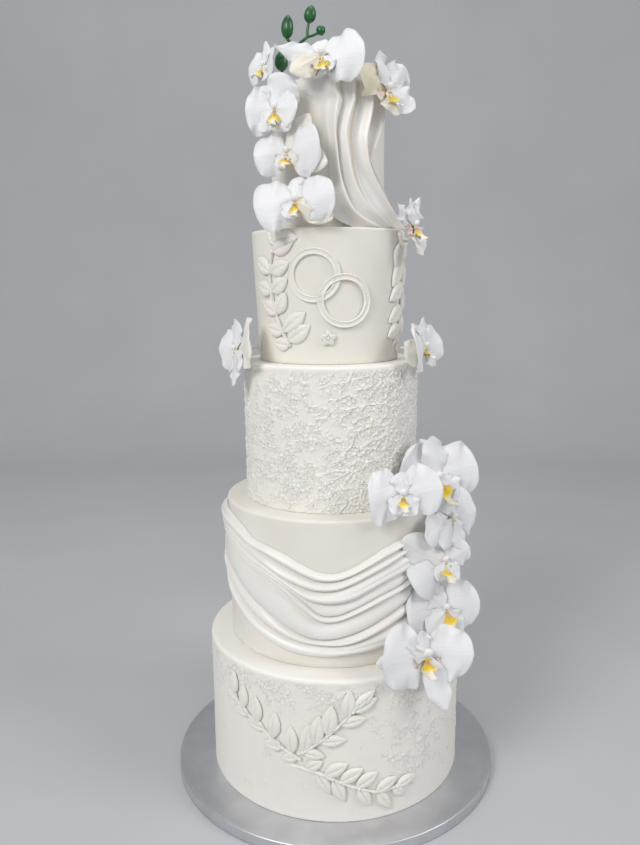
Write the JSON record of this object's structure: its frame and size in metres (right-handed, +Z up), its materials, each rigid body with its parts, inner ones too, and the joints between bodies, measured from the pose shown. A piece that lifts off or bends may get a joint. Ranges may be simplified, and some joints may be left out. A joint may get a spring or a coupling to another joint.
{
  "type": "wedding cake",
  "caption": "Tall tiered wedding cake on a round foil drum, with draped sugar swags, laurel sprays and rings in low relief, and cascades of white sugar orchids.",
  "frame": {"origin": "centre of the drum's underside, on the floor plane", "axes": "+Z up, -Y towards the cake's decorated front, +X to the right as seen from the front"},
  "size_m": [0.3556, 0.3556, 0.7988],
  "materials": {
    "fondant": "ivory rolled fondant, soft satin",
    "stucco": "ivory royal icing spread rough over fondant, matt",
    "paste": "white modelling paste, pearl satin",
    "petal": "thin white sugar petal, matt, yellow and pink at the throat",
    "bud_green": "glossy green",
    "foil": "embossed silver foil over card, satin"
  },
  "bodies": {
    "root": {"board": "foil", "tier_1": "stucco", "tier_2": "fondant", "tier_3": "stucco", "tier_4": "fondant", "tier_5": "fondant", "swag": "paste", "drape": "paste", "spray_low_left": "paste", "spray_low_right": "paste", "spray_low_sweep": "paste", "spray_upper_left": "paste", "spray_upper_right": "paste", "rings": "paste", "blossom": "paste", "orchid_top": "petal", "orchid_top_right": "petal", "orchid_top_left": "petal", "orchid_left_1": "petal", "orchid_left_2": "petal", "orchid_left_3": "petal", "orchid_left_4": "petal", "orchid_right_1": "petal", "orchid_right_2": "petal", "orchid_low_1": "petal", "orchid_low_2": "petal", "orchid_low_3": "petal", "orchid_low_4": "petal", "orchid_low_5": "petal", "orchid_low_6": "petal", "buds_tall": "bud_green", "bud_low": "bud_green"}
  },
  "joints": []
}
